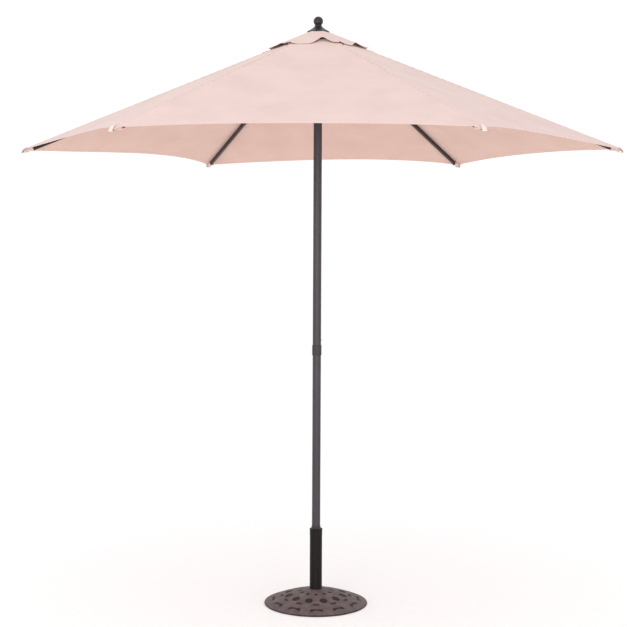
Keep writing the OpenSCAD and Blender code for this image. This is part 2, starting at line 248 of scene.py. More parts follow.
def cloth(name, light, dark, weave=0.5 * MM):
    """Plain-weave polyester: two thread directions, slight shade changes from yarn to yarn."""
    m = Nodes(name, roughness=0.86, sheen=0.12, specular=0.25)
    flat = m.coordinates(use_uv=True)
    period = 1 / weave / 20
    warp = m.wave(flat, period, "X", 0.4)
    weft = m.wave(flat, period, "Y", 0.4)
    threads = m.math("MAXIMUM", warp, weft)
    slubs = m.noise(m.coordinates(use_uv=True, scale=(1, 14, 1)), 160, 2)
    cloudy = m.noise(flat, 4.5, 4, 0.55)
    tone = m.mix(cloudy, dark, light, 0.32, 0.62)
    yarn = m.mix(slubs, (0.93, 0.93, 0.93, 1), (1, 1, 1, 1), 0.35, 0.65)
    m.colour(m.blend(tone, yarn, 1.0))
    m.roughness(slubs, 0.80, 0.92)
    broad = m.bump(m.noise(flat, 28, 3), 0.10, 2.0 * MM)
    m.bump(threads, 0.25, 0.15 * MM, broad)
    return m.material


def thread(name, colour, dark):
    m = Nodes(name, roughness=0.6, sheen=0.2)
    twist = m.wave(m.coordinates(), 400, "DIAGONAL")
    m.colour(m.mix(twist, dark, colour, 0.2, 0.8))
    m.bump(twist, 0.3, 0.1 * MM)
    return m.material


def powder_coat(name, colour, worn, rough=(0.34, 0.48)):
    """Painted steel: fine orange-peel texture and slightly lighter rubbed patches."""
    m = Nodes(name, roughness=0.4, metallic=0.15, specular=0.5)
    where = m.coordinates()
    patches = m.noise(m.coordinates(scale=(1, 1, 0.25)), 9, 4, 0.6)
    grain = m.noise(where, 900, 2)
    tone = m.mix(patches, colour, worn, 0.42, 0.78)
    fleck = m.mix(grain, (0.80, 0.80, 0.80, 1), (1, 1, 1, 1), 0.3, 0.7)
    m.colour(m.blend(tone, fleck, 1.0))
    m.roughness(patches, *rough)
    m.bump(grain, 0.18, 0.12 * MM)
    return m.material


def moulded(name, colour, light, rough=(0.45, 0.6), grain_scale=1400):
    """Moulded plastic with a fine spark-eroded grain."""
    m = Nodes(name, roughness=0.5)
    where = m.coordinates()
    grain = m.noise(where, grain_scale, 2)
    haze = m.noise(where, 25, 3)
    m.colour(m.mix(haze, colour, light, 0.35, 0.75))
    m.roughness(haze, *rough)
    m.bump(grain, 0.25, 0.12 * MM)
    return m.material


def plated(name, colour, dull):
    m = Nodes(name, roughness=0.3, metallic=1.0)
    where = m.coordinates()
    spangle = m.noise(where, 120, 3)
    m.colour(m.mix(spangle, dull, colour, 0.35, 0.7))
    m.roughness(spangle, 0.24, 0.42)
    m.bump(m.noise(where, 700, 2), 0.12, 0.08 * MM)
    return m.material


def cast_stone(name, low, high, dust):
    """Cast resin and stone: grainy, dark paint in the recesses and painted shade at the rim, paler
    where it is rubbed.
    """
    m = Nodes(name, roughness=0.62, specular=0.4)
    where = m.coordinates()
    # Dark paint in the moulded recesses, plus painted shade along the dome's rim, both read from
    # this attribute.
    shade = m.add("ShaderNodeAttribute", attribute_name="recess_paint_and_rim_shade").outputs["Fac"]
    blotch = m.noise(where, 26, 5, 0.62)
    grit = m.noise(where, 420, 3, 0.6)
    top = m.mix(blotch, high, dust, 0.38, 0.72)
    node = m.add("ShaderNodeMix", data_type="RGBA")
    node.inputs["B"].default_value = low
    m.link(shade, node.inputs["Factor"])
    m.link(top, node.inputs["A"])
    speck = m.mix(grit, (0.72, 0.72, 0.72, 1), (1, 1, 1, 1), 0.3, 0.62)
    m.colour(m.blend(node.outputs["Result"], speck, 1.0))
    m.roughness(grit, 0.52, 0.74)
    lumps = m.bump(m.noise(where, 70, 4), 0.25, 1.2 * MM)
    m.bump(grit, 0.45, 0.35 * MM, lumps)
    return m.material


def antiqued_tube(name, colour, light):
    """Dark brown painted casting with brushed-on vertical streaks."""
    m = Nodes(name, roughness=0.5, metallic=0.1, specular=0.25)
    where = m.coordinates()
    streaks = m.noise(m.coordinates(scale=(1, 1, 0.06)), 120, 4, 0.6)
    grain = m.noise(where, 500, 3)
    tone = m.mix(streaks, colour, light, 0.4, 0.75)
    fleck = m.mix(grain, (0.75, 0.75, 0.75, 1), (1, 1, 1, 1), 0.3, 0.65)
    m.colour(m.blend(tone, fleck, 1.0))
    m.roughness(streaks, 0.42, 0.62)
    m.bump(grain, 0.3, 0.2 * MM)
    return m.material


MAT = {
    "cloth_top": cloth("cloth_top", srgb(225, 199, 193), srgb(219, 192, 186)),
    # The underside is the same fabric as the top, given a darker, warmer colour: painted shade and
    # painted light coming through the cloth.
    "cloth_under_shaded": cloth("cloth_under_shaded", srgb(222, 187, 174), srgb(216, 180, 167)),
    "cloth_tab": cloth("cloth_tab", srgb(232, 214, 205), srgb(224, 205, 196), 1.2 * MM),
    "thread": thread("thread", srgb(234, 208, 202), srgb(216, 186, 178)),
    "pole": powder_coat("pole_coat", srgb(56, 50, 56), srgb(72, 65, 73)),
    "rib": powder_coat("rib_coat", srgb(44, 30, 29), srgb(58, 43, 41)),
    "tube": antiqued_tube("tube_paint", srgb(14, 4, 6), srgb(30, 15, 17)),
    "stone": cast_stone("base_stone", srgb(18, 9, 9), srgb(88, 73, 76), srgb(116, 98, 94)),
    "black": moulded("black_plastic", srgb(34, 32, 34), srgb(48, 45, 48)),
    "finial": moulded("finial_plastic", srgb(22, 17, 20), srgb(36, 31, 34), (0.3, 0.42), 900),
    "zinc": plated("zinc_plate", (0.62, 0.62, 0.64, 1), (0.45, 0.45, 0.46, 1)),
    "rubber": moulded("foot_rubber", srgb(24, 24, 24), srgb(36, 36, 36), (0.7, 0.85), 700),
}


# ---------------------------------------------------------------- mesh helpers
def make_piece(name, verts, faces, material, uv=None, smooth=True, second=None):
    mesh = bpy.data.meshes.new(name)
    mesh.from_pydata([tuple(v) for v in verts], [], [tuple(f) for f in faces])
    mesh.materials.append(MAT[material])
    if second:
        mesh.materials.append(MAT[second])
    if uv is not None:
        layer = mesh.uv_layers.new(name="UVMap")
        index = np.empty(len(mesh.loops), int)
        mesh.loops.foreach_get("vertex_index", index)
        layer.data.foreach_set("uv", np.asarray(uv, float)[index].ravel())
    mesh.polygons.foreach_set("use_smooth", [smooth] * len(mesh.polygons))
    mesh.update()
    piece = bpy.data.objects.new(name, mesh)
    bpy.context.collection.objects.link(piece)
    return piece


def grid_faces(rows, columns, closed=False, flip=False):
    """Quads of a rows x columns point grid; closed joins the last column to the first."""
    faces = []
    for i in range(rows - 1):
        for j in range(columns if closed else columns - 1):
            k = (j + 1) % columns
            quad = (i * columns + j, i * columns + k, (i + 1) * columns + k,
                    (i + 1) * columns + j)
            faces.append(quad[::-1] if flip else quad)
    return faces


def thicken(piece, amount, offset=-1.0):
    modifier = piece.modifiers.new("thickness", "SOLIDIFY")
    modifier.thickness = amount
    modifier.offset = offset
    modifier.use_even_offset = False


def layered(name, top, low, normal, flip, materials, uv):
    """Closed cloth between two point grids. The shading normals come from the surface's
    own formula, so that two pieces that meet on a line show no crease there."""
    rows, columns = top.shape[:2]
    count = rows * columns
    verts = np.concatenate([top.reshape(-1, 3), low.reshape(-1, 3)])
    upper = grid_faces(rows, columns, flip=flip)
    lower = [tuple(count + i for i in face[::-1]) for face in upper]
    border = list(range(columns))
    border += [i * columns + columns - 1 for i in range(1, rows)]
    border += [(rows - 1) * columns + j for j in range(columns - 2, -1, -1)]
    border += [i * columns for i in range(rows - 2, 0, -1)]
    rim = []
    for a, b in zip(border, border[1:] + border[:1]):
        quad = (b, a, a + count, b + count)
        rim.append(quad[::-1] if flip else quad)
    uv = np.concatenate([uv.reshape(-1, 2)] * 2)
    piece = make_piece(name, verts, upper + lower + rim, materials[0], uv, second=materials[1])
    mesh = piece.data
    slots = [0] * len(upper) + [1] * len(lower) + [0] * len(rim)
    mesh.polygons.foreach_set("material_index", slots)
    flat = normal.reshape(-1, 3)
    shading = [flat[i] for face in upper for i in face]
    shading += [-flat[i - count] for face in lower for i in face]
    first = len(upper) + len(lower)
    for polygon in mesh.polygons[first:]:
        shading += [polygon.normal.copy()] * 4
    mesh.normals_split_custom_set([tuple(n) for n in shading])
    return piece


def mend_normals(piece, weld=False):
    """Turns all faces outwards, after joining points that coincide if weld is set."""
    clean = bmesh.new()
    clean.from_mesh(piece.data)
    if weld:
        bmesh.ops.remove_doubles(clean, verts=clean.verts, dist=1e-6)
    bmesh.ops.recalc_face_normals(clean, faces=clean.faces)
    clean.to_mesh(piece.data)
    clean.free()


def lathe(name, profile, segments, material):
    """Surface of revolution about Z."""
    angles = np.linspace(0, 2 * math.pi, segments, endpoint=False)
    verts = []
    for r, z in profile:
        for a in angles:
            verts.append((r * math.cos(a), r * math.sin(a), z))
    faces = grid_faces(len(profile), segments, closed=True)
    if profile[0][0] > 1e-6:
        faces.append(tuple(range(segments))[::-1])
    last = (len(profile) - 1) * segments
    if profile[-1][0] > 1e-6:
        faces.append(tuple(last + i for i in range(segments)))
    piece = make_piece(name, verts, faces, material)
    mend_normals(piece, weld=True)
    return piece


def smooth_steps(points, steps):
    """Catmull-Rom curve through the points, as a list of (r, z)."""
    p = [np.array(q, float) for q in points]
    p = [2 * p[0] - p[1]] + p + [2 * p[-1] - p[-2]]
    out = []
    for i in range(1, len(p) - 2):
        for s in range(steps):
            t = s / steps
            a, b, c, d = p[i - 1:i + 3]
            out.append(0.5 * ((2 * b) + (c - a) * t + (2 * a - 5 * b + 4 * c - d) * t * t
                              + (3 * b - a - 3 * c + d) * t ** 3))
    out.append(p[-2])
    return [(max(0.0, float(q[0])), float(q[1])) for q in out]


def blocks(name, places, size, material):
    """Small rounded stitches: one six-sided capsule for each (position, along, normal)."""
    verts, faces = [], []
    length, width, height = size
    for where, along, normal in places:
        side = np.cross(normal, along)
        base = len(verts)
        for x, grow in ((-0.5, 0.35), (-0.3, 1.0), (0.3, 1.0), (0.5, 0.35)):
            for y, z in ((-0.5, 0.0), (-0.3, 0.8), (0.3, 0.8), (0.5, 0.0)):
                verts.append(where + along * x * length + side * y * width * grow
                             + normal * (z * height * grow))
        for i in range(3):
            for j in range(3):
                a = base + i * 4 + j
                faces.append((a, a + 4, a + 5, a + 1))
        faces.append((base, base + 1, base + 2, base + 3))
        faces.append((base + 15, base + 14, base + 13, base + 12))
        faces.append((base, base + 3, base + 15, base + 12))
    return make_piece(name, verts, faces, material)


# ---------------------------------------------------------------- the cloth surface
def corner_wrap(beyond):
    """How far the cloth bends down over the end of a rib, from its nose outwards."""
    return 13 * MM * np.clip(beyond / (CORNER_R - NOSE_R), 0, 1) ** 1.5


class Gore:
    """One gore between rib number and the next, and the two half gores that it folds into."""

    def __init__(self, number):
        self.number = number
        self.middle = (number - 0.5) * SECTOR
        self.random = random.Random(100 + number)
        self.waves = [(self.random.uniform(2.2, 6.5), self.random.uniform(-4, 4),
                       self.random.uniform(0, 2 * math.pi)) for _ in range(5)]
        self.pucker_phase = self.random.uniform(0, 2 * math.pi)

    def hem_run(self, psi):
        """Distance from the axis to the hem, measured along the gore's middle."""
        sag = HEM_SAG[self.number] * math.cos(CLOTH_SLOPE)
        run = MID_RUN
        for _ in range(4):
            share = run * np.tan(psi) / CORNER_ARM
            run = MID_RUN - sag * (1 - share ** 2) * (1 + HEM_LEAN[self.number] * share)
        return run

    def radius(self, psi, u):
        """Horizontal radius at share u of the way from the vent to the hem."""
        hem = self.hem_run(psi) / np.cos(psi)
        return VENT_R + (hem - VENT_R) * u

    def ripple(self, psi, r):
        """Small folds of the stretched cloth: along the seams, at the hem and at the corners."""
        share = np.abs(psi) / HALF
        arm = r * np.sin(HALF - np.abs(psi))
        middle = np.clip(1 - share ** 2, 0, 1)
        x, y = r * np.cos(psi), r * np.sin(psi)
        broad = sum(np.sin(x * a + y * b + c) for a, b, c in self.waves) / 5
        out = 2.2 * MM * broad * middle * np.clip((r - 0.2) / 0.5, 0, 1)
        seam = np.exp(-arm / 0.028) * (1 - np.exp(-arm / 0.005))
        out = out + 0.9 * MM * seam * np.sin(r * 2 * math.pi / 0.034 + self.pucker_phase)
        hem = self.hem_run(psi) / np.cos(psi) - r
        edge = np.exp(-np.abs(hem - 0.022) / 0.010)
        along = psi * r
        out = out + 0.45 * MM * edge * np.sin(along * 2 * math.pi / 0.021) * middle
        to_corner = np.hypot(CORNER_R * 0.985 - r * np.cos(HALF - np.abs(psi)), arm)
        angle = np.arctan2(arm, CORNER_R * 0.985 - r * np.cos(HALF - np.abs(psi)))
        fan = np.exp(-to_corner / 0.16) * np.clip(to_corner / 0.05, 0, 1)
        return out + 2.4 * MM * fan * np.sin(angle * 13 + self.pucker_phase) * middle ** 0.5

    def height(self, psi, r):
        run = r * np.cos(psi)
        plane = PEAK_Z - math.tan(CLOTH_SLOPE) * run
        share = np.clip((run - 0.12) / (MID_RUN - 0.12), 0, 1)
        droop = 8 * MM * 4 * share * (1 - share) * (1 - (psi / HALF) ** 2)
        arm = r * np.sin(HALF - np.abs(psi))
        wrap = corner_wrap(r * np.cos(HALF - np.abs(psi)) - NOSE_R)
        return plane - droop - wrap * np.exp(-(arm / 0.035) ** 2) + self.ripple(psi, r)

    def point(self, psi, r, lift=0.0):
        a = self.middle + psi
        z = self.height(psi, r) + lift
        return np.stack([r * np.cos(a), r * np.sin(a), z], -1)

    def normal(self, psi, r):
        step = 1e-4
        along = self.point(psi, r + step) - self.point(psi, r - step)
        across = self.point(psi + step, r) - self.point(psi - step, r)
        n = np.cross(along, across)
        return n / np.linalg.norm(n, axis=-1, keepdims=True)

    def flat(self, psi, r):
        """Flat-cut coordinates of a point, for the weave."""
        return np.stack([r * np.cos(psi) / math.cos(CLOTH_SLOPE), r * np.sin(psi)], -1)


GORES = [Gore(g) for g in range(1, SECTORS + 1)]
SIDES = {"a": -1, "b": 1}


def fold(piece, weights):
    """Bakes the piece's transform into its mesh and clips the weights, from its rib (0) to the
    gore's crease (1); nothing bends the piece with them. The weight is the share of the polar
    angle from rib to crease, which a straight ramp can't follow."""
    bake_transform(piece)
    weights = np.clip(np.asarray(weights, np.float32), 0, 1)


def crease_share(psi):
    return 1 - np.abs(psi) / HALF


HALF_ROWS, HALF_COLUMNS = 130, 48


def half_gore(gore, side):
    sign = SIDES[side]
    u = np.linspace(0, 1, HALF_ROWS)[:, None]
    v = np.linspace(1, 0, HALF_COLUMNS)[None, :]
    psi = sign * HALF * v + 0 * u
    r = gore.radius(psi, u)
    top = gore.point(psi, r)
    normal = gore.normal(psi, r)
    piece = layered("canopy_cloth_%d%s" % (gore.number, side), top, top - normal * CLOTH_T,
                    normal, sign < 0, ("cloth_top", "cloth_under_shaded"), gore.flat(psi, r))
    fold(piece, np.tile(crease_share(psi).ravel(), 2))
    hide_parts("canopy_%d%s" % (gore.number, side))
    return piece


def strip(name, gore, psi, r, half_t, flip):
    """A doubled band of cloth on both faces of the gore: rows across the band."""
    normal = gore.normal(psi, r)
    centre = gore.point(psi, r) - normal * CLOTH_T / 2
    edge = np.linspace(-1, 1, psi.shape[0])[:, None, None]
    bulge = half_t * (1 - edge ** 6 * 0.55)
    return layered(name, centre + normal * bulge, centre - normal * bulge, normal, flip,
                   ("cloth_top", "cloth_under_shaded"), gore.flat(psi, r))


HEM_W = 0.022
HEM_COLUMNS = 90


def hem_band(gore, side):
    """The turned-over hem: three layers of cloth, and its two rows of stitches."""
    sign = SIDES[side]
    v = np.linspace(0.998, 0.0, HEM_COLUMNS)[None, :]
    back = np.array([HEM_W, HEM_W - 0.002, HEM_W / 2, 0.002, -0.0006])[:, None]
    psi = sign * HALF * v + 0 * back
    r = gore.radius(psi, 1.0) - back
    name = "hem_%d%s" % (gore.number, side)
    piece = strip(name, gore, psi, r, 0.8 * MM, sign < 0)
    fold(piece, np.tile(crease_share(psi).ravel(), 2))
    places, weights = [], []
    length = CORNER_ARM * 0.985
    count = int(length / 0.0065)
    for offset in (0.0035, 0.0185):
        for i in range(count):
            arm = (i + 0.5) / count
            p = sign * math.atan(arm * length / MID_RUN)
            rr = float(gore.radius(np.array(p), 1.0)) - offset
            n = gore.normal(np.array(p), np.array(rr))
            ahead = gore.point(np.array(p + 1e-4), np.array(float(
                gore.radius(np.array(p + 1e-4), 1.0)) - offset))
            here = gore.point(np.array(p), np.array(rr))
            along = (ahead - here) / np.linalg.norm(ahead - here)
            middle = here - n * CLOTH_T / 2
            places.append((middle + n * 0.7 * MM, along, n))
            places.append((middle - n * 0.95 * MM, along, -n))
            weights += [crease_share(p)] * 32
    stitches = blocks("hem_stitches_%d%s" % (gore.number, side), places,
                      (3.6 * MM, 0.9 * MM, 0.5 * MM), "thread")
    fold(stitches, weights)
    return [piece, stitches]


def on_rib(k, x, y, z):
    """A point in the frame of rib k: x along it from its pivot, y across, z square to it."""
    c, s = math.cos(RIB_SLOPE), math.sin(RIB_SLOPE)
    radial = PIVOT_R + x * c + z * s
    height = CROWN_Z - x * s + z * c
    a = (k - 1) * SECTOR
    return np.array([radial * math.cos(a) - y * math.sin(a),
                     radial * math.sin(a) + y * math.cos(a), height])


def cloth_over_rib(x, y):
    """Height of the cloth's upper face above rib k's centre line, in the rib's frame."""
    radial = PIVOT_R + x * math.cos(RIB_SLOPE) + CLOTH_ABOVE_RIB * math.sin(RIB_SLOPE)
    wrap = float(corner_wrap(radial - NOSE_R)) * math.cos(RIB_SLOPE)
    return CLOTH_ABOVE_RIB - abs(y) * CROSS_LEAN - wrap


CROSS_LEAN = math.tan(math.radians(11.9))
CLOTH_ABOVE_RIB = (PEAK_Z - CROWN_Z - math.tan(RIB_SLOPE) * PIVOT_R) * math.cos(RIB_SLOPE)


def rib_seam(k):
    """Flat-felled seam over rib k: a raised double band and two rows of stitches."""
    half_w = 0.0055
    rows = 220
    x0 = (VENT_R - 0.004 - PIVOT_R) / math.cos(RIB_SLOPE)
    x1 = (CORNER_R - 0.003 - PIVOT_R) / math.cos(RIB_SLOPE)
    across = [-1.0, -0.9, -0.45, 0.0, 0.45, 0.9, 1.0]
    rise = [0.05, 0.8, 1.0, 1.05, 1.0, 0.8, 0.05]
    verts, uv = [], []
    for i in range(rows):
        x = x0 + (x1 - x0) * i / (rows - 1)
        ripple = 0.10 * MM * math.sin(x * 2 * math.pi / 0.034)
        for a, h in zip(across, rise):
            verts.append(on_rib(k, x, a * half_w, cloth_over_rib(x, a * half_w)
                                + h * 0.7 * MM + ripple * h))
            uv.append((x, a * half_w))
    piece = make_piece("seam_%d" % k, verts, grid_faces(rows, len(across), flip=True),
                       "cloth_top", uv)
    thicken(piece, 0.4 * MM)
    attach(piece, "rib_%d" % k)
    places = []
    count = int((x1 - x0) / 0.0062)
    up = on_rib(k, 0, 0, 1) - on_rib(k, 0, 0, 0)
    along = on_rib(k, 1, 0, 0) - on_rib(k, 0, 0, 0)
    for y in (-0.0036, 0.0036):
        for i in range(count):
            x = x0 + (x1 - x0) * (i + 0.5) / count
            places.append((on_rib(k, x, y, cloth_over_rib(x, y) + 0.62 * MM), along, up))
    stitches = blocks("seam_stitches_%d" % k, places, (3.6 * MM, 0.8 * MM, 0.4 * MM), "thread")
    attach(stitches, "rib_%d" % k)


def under_seam(k):
    """The same seam's turned-in allowance on the underside."""
    rows = 160
    x0 = (VENT_R + 0.01 - PIVOT_R) / math.cos(RIB_SLOPE)
    x1 = RIB_LEN - 0.03
    across = [-1.0, -0.8, 0.0, 0.8, 1.0]
    verts, uv = [], []
    for i in range(rows):
        x = x0 + (x1 - x0) * i / (rows - 1)
        for a in across:
            y = a * 0.011
            z = CLOTH_ABOVE_RIB - abs(y) * CROSS_LEAN - CLOTH_T - 0.7 * MM * (1 - abs(a) ** 4)
            verts.append(on_rib(k, x, y, z))
            uv.append((x, y))
    piece = make_piece("seam_allowance_%d" % k, verts, grid_faces(rows, len(across), flip=True),
                       "cloth_under_shaded", uv)
    thicken(piece, 0.4 * MM, offset=1.0)
    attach(piece, "rib_%d" % k)


# ---------------------------------------------------------------- corner pockets
def rounded_ring(half_w, low, high, r, steps=5):
    """Points round a rounded rectangle in (y, z), counter-clockwise."""
    points = []
    corners = [(half_w - r, high - r, 0), (-half_w + r, high - r, 90),
               (-half_w + r, low + r, 180), (half_w - r, low + r, 270)]
    for y, z, start in corners:
        for i in range(steps + 1):
            a = math.radians(start + 90 * i / steps)
            points.append((y + r * math.cos(a), z + r * math.sin(a)))
    return points


def tube_along_rib(name, k, stations, material, thickness):
    """Cloth sleeve round rib k: stations are (x, half width, low, high, corner radius)."""
    verts, uv = [], []
    for x, half_w, low, high, r in stations:
        ring = rounded_ring(half_w, low, high, r)
        for i, (y, z) in enumerate(ring):
            verts.append(on_rib(k, x, y, z))
            uv.append((x, i * 4 * MM))
    columns = len(rounded_ring(1, -1, 1, 0.1))
    faces = grid_faces(len(stations), columns, closed=True)
    last = (len(stations) - 1) * columns
    faces.append(tuple(last + i for i in range(columns)))
    piece = make_piece(name, verts, faces, material, uv)
    mend_normals(piece)
    thicken(piece, thickness)
    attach(piece, "rib_%d" % k)
    return piece


def corner_pocket(k):
    """Pocket of doubled cloth that the rib's nose sits in, and the pale tab over its end."""
    end = RIB_LEN
    top = CLOTH_ABOVE_RIB - 2.9 * MM
    tube_along_rib("pocket_%d" % k, k, [
        (end - 0.037, 0.0088, -0.0108, top - 0.0008, 0.0042),
        (end - 0.036, 0.0094, -0.0116, top - 0.0004, 0.0045),
        (end - 0.032, 0.0091, -0.0112, top, 0.0045),
        (end - 0.026, 0.0094, -0.0088, top, 0.0045),
        (end - 0.012, 0.0092, -0.0050, top, 0.0045),
        (end - 0.002, 0.0088, -0.0026, top, 0.0045),
        (end + 0.003, 0.0080, -0.0010, top - 0.0010, 0.0042),
        (end + 0.005, 0.0055, 0.0012, top - 0.0035, 0.0030),
    ], "cloth_top", 0.9 * MM)
    verts, uv = [], []
    peak = CLOTH_ABOVE_RIB
    path = [(end - 0.008, peak + 1.2 * MM), (end + 0.002, peak + 1.0 * MM),
            (end + 0.011, peak - 2.4 * MM), (end + 0.0195, peak - 9.5 * MM),
            (end + 0.0195, peak - 14 * MM), (end + 0.014, -0.0020), (end + 0.006, -0.0035),
            (end - 0.006, -0.0050)]
    curve = smooth_steps(path, 5)
    for i, (x, z) in enumerate(curve):
        for y in np.linspace(-1, 1, 9):
            lean = abs(y) * 0.0095 * CROSS_LEAN if z > 0.004 else 0.0
            verts.append(on_rib(k, x - 0.8 * MM * y * y, y * 0.0095, z - lean))
            uv.append((i * 2 * MM, y * 0.0095))
    tab = make_piece("corner_tab_%d" % k, verts, grid_faces(len(curve), 9, flip=True),
                     "cloth_tab", uv)
    thicken(tab, 1.0 * MM, offset=1.0)
    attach(tab, "rib_%d" % k)
    places = []
    up = on_rib(k, 0, 0, 1) - on_rib(k, 0, 0, 0)
    along = on_rib(k, 1, 0, 0) - on_rib(k, 0, 0, 0)
    side = np.cross(up, along)
    for i in range(7):
        y = (i - 3) * 2.5 * MM
        z = peak + 2.1 * MM - abs(y) * CROSS_LEAN
        places.append((on_rib(k, end - 0.007, y, z), side, up))
        places.append((on_rib(k, end - 0.005 + 0.002 * (i % 2), y, z), side, up))
    stitches = blocks("tab_stitches_%d" % k, places, (2.2 * MM, 0.8 * MM, 0.5 * MM), "thread")
    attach(stitches, "rib_%d" % k)


# ---------------------------------------------------------------- vent cap
CAP_RUN = CAP_R * math.cos(HALF)
# for each gore: where the hem's wave peaks from one rib to the next, how far it draws in,
# how far it stands off there, and how far the rest of the hem sinks to the canopy, in metres
CAP_WAVES = {1: (0.45, 0.014, 0.008, 0.008), 2: (0.60, 0.018, 0.008, 0.008),
             3: (0.50, 0.012, 0.008, 0.008), 4: (0.45, 0.008, 0.004, 0.001),
             5: (0.69, 0.040, 0.008, 0.0115), 6: (0.72, 0.016, 0.009, 0.009)}


class Cap(Gore):
    """One gore of the vent cap, hovering over the main canopy's gore of the same number."""

    def wave(self, psi):
        peak, draw = CAP_WAVES[self.number][:2]
        t = np.clip((psi / HALF + 1) / 2, 0, 1)
        width = 0.20
        shape = np.exp(-((t - peak) / width) ** 2) * (4 * t * (1 - t)) ** 0.5
        return shape, draw

    def hem_run(self, psi):
        shape, draw = self.wave(psi)
        return CAP_RUN - 0.004 * (1 - (psi / HALF) ** 2) - draw * shape

    def radius(self, psi, u):
        hem = self.hem_run(psi) / np.cos(psi)
        return CAP_IN + (hem - CAP_IN) * u

    def height(self, psi, r):
        shape = self.wave(psi)[0]
        lift, sink = CAP_WAVES[self.number][2:]
        run = r * np.cos(psi)
        hem = self.hem_run(psi)
        out = np.clip(run / hem, 0, 1.02)
        plane = PEAK_Z + CAP_RISE - math.tan(CLOTH_SLOPE) * run
        settle = -out ** 3 * (1 - shape) * (sink - (sink - 1 * MM) * (psi / HALF) ** 6)
        billow = lift * 0.8 * shape * out ** 3
        fine = 0.5 * MM * np.sin(psi * 26 + self.pucker_phase) * out ** 2 * (1 - (psi / HALF) ** 2)
        pull = 0.5 * MM * np.sin(r * 2 * math.pi / 0.03) * np.exp(-(HALF - np.abs(psi)) / 0.09) \
            * (1 - (psi / HALF) ** 8)
        return plane + settle + billow + fine + pull


CAPS = [Cap(g) for g in range(1, SECTORS + 1)]


def cap_half(cap, side):
    sign = SIDES[side]
    rows, columns = 44, 34
    u = np.linspace(0, 1, rows)[:, None]
    v = np.linspace(1, 0, columns)[None, :]
    psi = sign * HALF * v + 0 * u
    r = cap.radius(psi, u)
    top = cap.point(psi, r)
    normal = cap.normal(psi, r)
    piece = layered("vent_cap_%d%s" % (cap.number, side), top, top - normal * CLOTH_T,
                    normal, sign < 0, ("cloth_top", "cloth_under_shaded"), cap.flat(psi, r))
    fold(piece, np.tile(crease_share(psi).ravel(), 2))
    back = np.array([0.012, 0.010, 0.006, 0.002, -0.0005])[:, None]
    v = np.linspace(1, 0, 46)[None, :]
    psi = sign * HALF * v + 0 * back
    band = strip("cap_hem_%d%s" % (cap.number, side), cap, psi, cap.radius(psi, 1.0) - back,
                 0.7 * MM, sign < 0)
    fold(band, np.tile(crease_share(psi).ravel(), 2))
    return piece, band


def cap_middle():
    """Round reinforcement patch under the finial, fixed to the pole."""
    rows, columns = 6, 96
    verts, uv = [], []
    for i in range(rows):
        r = 0.022 + (0.036 - 0.022) * i / (rows - 1)
        for j in range(columns):
            a = 2 * math.pi * j / columns
            psi = (a % SECTOR) - HALF
            run = r * math.cos(psi)
            z = PEAK_Z + CAP_RISE - math.tan(CLOTH_SLOPE) * run + 0.55 * MM
            verts.append((r * math.cos(a), r * math.sin(a), z))
            uv.append((r * math.cos(a), r * math.sin(a)))
    piece = make_piece("cap_patch", verts, grid_faces(rows, columns, closed=True, flip=True),
                       "cloth_top", uv)
    thicken(piece, 0.5 * MM)
    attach(piece, "pole")


def cap_corner(k):
    """Two eyelets and the cord stitches that tie the cap's corner down over rib k."""
    up = on_rib(k, 0, 0, 1) - on_rib(k, 0, 0, 0)
    along = on_rib(k, 1, 0, 0) - on_rib(k, 0, 0, 0)
    side = np.cross(up, along)
    corner_x = (CAP_R - PIVOT_R) / math.cos(RIB_SLOPE)
    rings, points = 20, 8
    verts, faces = [], []
    for number, out_by in enumerate((0.006, 0.018)):
        centre = on_rib(k, corner_x + out_by, 0, CLOTH_ABOVE_RIB + 1.6 * MM)
        for i in range(rings):
            a = 2 * math.pi * i / rings
            out = along * math.cos(a) + side * math.sin(a)
            for j in range(points):
                b = 2 * math.pi * j / points
                verts.append(centre + out * (0.0021 + 0.0008 * math.cos(b))
                             + up * 0.0007 * math.sin(b))
        base = number * rings * points
        for i in range(rings):
            for j in range(points):
                near, far = i * points, ((i + 1) % rings) * points
                k1, k2 = j, (j + 1) % points
                faces.append((base + near + k1, base + far + k1, base + far + k2,
                              base + near + k2))
    eyelets = make_piece("cap_eyelets_%d" % k, verts, faces, "rib")
    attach(eyelets, "rib_%d" % k)
    places = []
    for i in range(6):
        x = corner_x - 0.010 + i * 0.0032
        z = CLOTH_ABOVE_RIB + CAP_RISE * math.cos(RIB_SLOPE) * max(0.0, 1 - i / 5) + 1.2 * MM
        places.append((on_rib(k, x, 0, z), along, up))
    cord = blocks("cap_cord_%d" % k, places, (5.0 * MM, 1.4 * MM, 1.2 * MM), "thread")
    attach(cord, "rib_%d" % k)


# ---------------------------------------------------------------- base
def dome_height(r):
    run = BASE_R - TUBE_R
    t = (BASE_R - r) / run
    return EDGE_HIGH + (DOME_TOP - EDGE_HIGH) * t + math.tan(DOME_TURN) * run * t * (1 - t)


